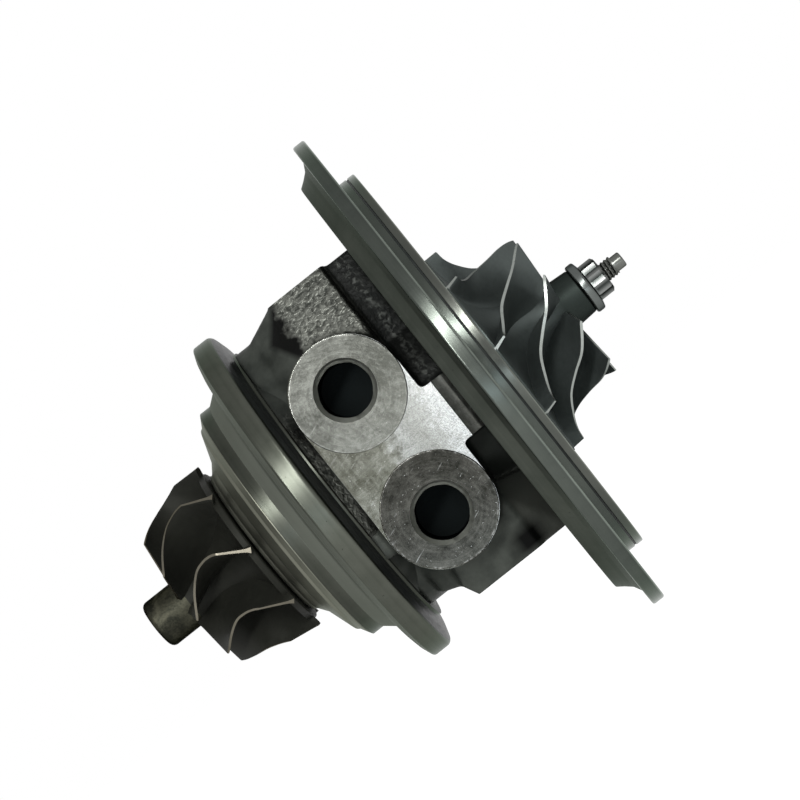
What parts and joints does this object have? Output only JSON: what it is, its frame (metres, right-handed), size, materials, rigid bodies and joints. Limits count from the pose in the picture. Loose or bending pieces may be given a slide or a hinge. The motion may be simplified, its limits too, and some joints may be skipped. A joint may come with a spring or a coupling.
{
  "type": "turbo cartridge",
  "caption": "Turbocharger centre housing with its rotor: turbine wheel and compressor wheel on one shaft in a water-cooled bearing housing with two clamping flanges.",
  "frame": {"origin": "on the shaft axis, in the middle of the compressor flange's rim", "axes": "+X along the shaft towards the compressor wheel, +Z towards the oil inlet, -Y towards the coolant ports"},
  "size_m": [0.1188, 0.1158, 0.1158],
  "materials": {
    "cast_housing": "cast and turned",
    "turned_plate": "turned",
    "seal_rubber": "matte black",
    "dark_screws": "blackened",
    "shield_sheet": "pressed sheet",
    "turbine_alloy": "cast, dark",
    "shaft_steel": "ground",
    "wheel_aluminium": "machined",
    "nut_steel": "bright",
    "spring_steel": "oiled",
    "bearing_bronze": "turned"
  },
  "bodies": {
    "housing": {"bearing_housing": "cast_housing", "back_plate": "turned_plate", "back_plate_gasket": "seal_rubber", "back_plate_o_ring": "seal_rubber", "back_plate_screws": "dark_screws", "heat_shield": "shield_sheet", "thrust_bearing": "bearing_bronze", "thrust_bearing_pins": "nut_steel", "oil_deflector": "shield_sheet", "turbine_bearing_circlips": "spring_steel", "compressor_bearing_circlips": "spring_steel", "turbine_seal_ring": "spring_steel", "compressor_seal_rings": "spring_steel", "coolant_core_plug": "shield_sheet", "oil_gallery_plug": "nut_steel"},
    "rotor": {"turbine_wheel": "turbine_alloy", "rotor_shaft": "shaft_steel", "compressor_wheel": "wheel_aluminium", "compressor_nut": "nut_steel", "thrust_collar": "shaft_steel", "oil_flinger": "shaft_steel"},
    "turbine_bush": {"turbine_bearing": "bearing_bronze"},
    "compressor_bush": {"compressor_bearing": "bearing_bronze"}
  },
  "joints": [
    {"name": "rotor_spin", "type": "hinge", "parent": "housing", "child": "rotor", "pos_m": [0, 0, 0], "axis": [-1, 0, 0], "continuous": true},
    {"name": "turbine_bush_spin", "type": "hinge", "parent": "housing", "child": "turbine_bush", "pos_m": [-0.0368, 0, 0], "axis": [-1, 0, 0], "continuous": true},
    {"name": "compressor_bush_spin", "type": "hinge", "parent": "housing", "child": "compressor_bush", "pos_m": [-0.01864, 0, 0], "axis": [-1, 0, 0], "continuous": true}
  ]
}
